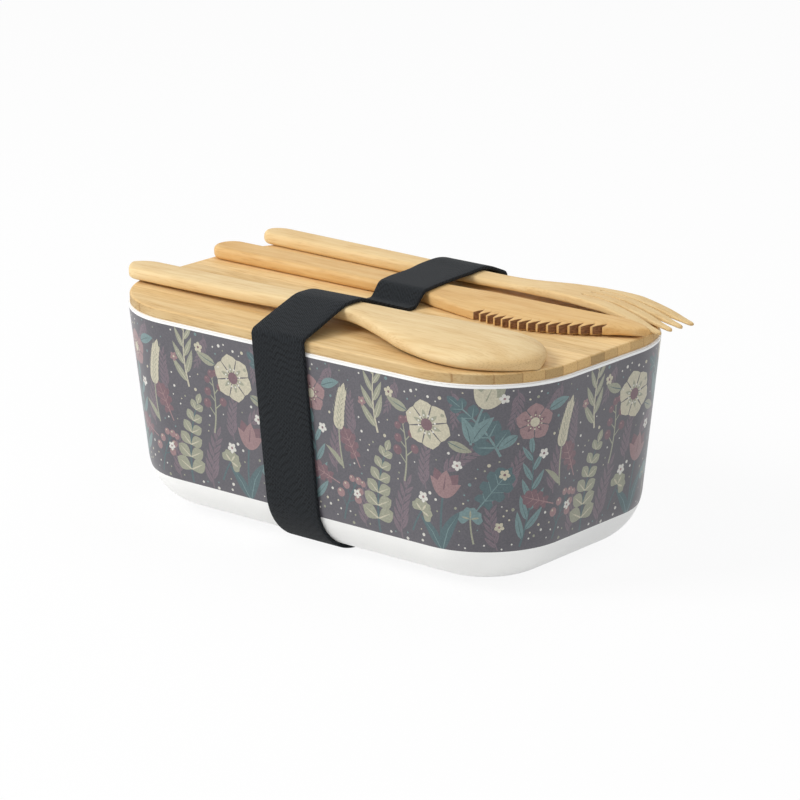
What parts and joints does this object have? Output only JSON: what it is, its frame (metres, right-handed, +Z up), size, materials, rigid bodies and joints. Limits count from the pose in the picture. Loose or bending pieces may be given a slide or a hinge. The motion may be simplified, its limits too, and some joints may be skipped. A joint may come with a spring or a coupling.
{
  "type": "lunch box",
  "caption": "Moulded lunch tub with a printed wall and a bamboo lid, held shut by an elastic strap that also carries a wooden spoon, knife and fork.",
  "frame": {"origin": "on the table, under the middle of the tub, on the underside of the strap's run below the base", "axes": "+X along the tub's length, towards the spoon's bowl; -Y towards the front; +Z up"},
  "size_m": [0.19, 0.112, 0.0868],
  "materials": {
    "tub": "moulded bamboo fibre, satin white",
    "print_wrap": "printed film moulded into the wall, satin",
    "lid": "laminated bamboo, oiled",
    "seal_ring": "clear silicone",
    "strap": "woven elastic",
    "thread": "sewing thread",
    "spoon": "bare bamboo",
    "knife": "bare bamboo",
    "fork": "bare bamboo"
  },
  "bodies": {
    "tub": {"tub": "tub", "print_wrap": "print_wrap"},
    "lid": {"lid": "lid", "seal_ring": "seal_ring"},
    "strap_base": {"strap_base_run": "strap"},
    "strap": {"strap": "strap", "strap_stitching": "thread"},
    "spoon": {"spoon": "spoon"},
    "knife": {"knife": "knife"},
    "fork": {"fork": "fork"}
  },
  "joints": [
    {"name": "lid_lift", "type": "slide", "parent": "tub", "child": "lid", "axis": [0, 0, 1], "range_m": [0, 0.06]},
    {"name": "strap_slide", "type": "slide", "parent": "tub", "child": "strap_base", "axis": [1, 0, 0], "range_m": [-0.12, 0]},
    {"name": "strap_stretch", "type": "slide", "parent": "strap_base", "child": "strap", "axis": [0, 0, 1], "range_m": [0, 0.06], "stiffness_N_per_m": 80, "deforming": ["strap", "strap_stitching"]},
    {"name": "spoon_pull", "type": "slide", "parent": "lid", "child": "spoon", "axis": [0.9997, -0.0236, 0], "range_m": [0, 0.11]},
    {"name": "knife_pull", "type": "slide", "parent": "lid", "child": "knife", "axis": [1, -0.0052, 0], "range_m": [0, 0.11]},
    {"name": "fork_pull", "type": "slide", "parent": "lid", "child": "fork", "axis": [0.9998, -0.0209, 0], "range_m": [0, 0.11]}
  ],
  "couplings": [
    {"joint": "strap_stretch", "follows": "lid_lift", "ratio": 1}
  ]
}
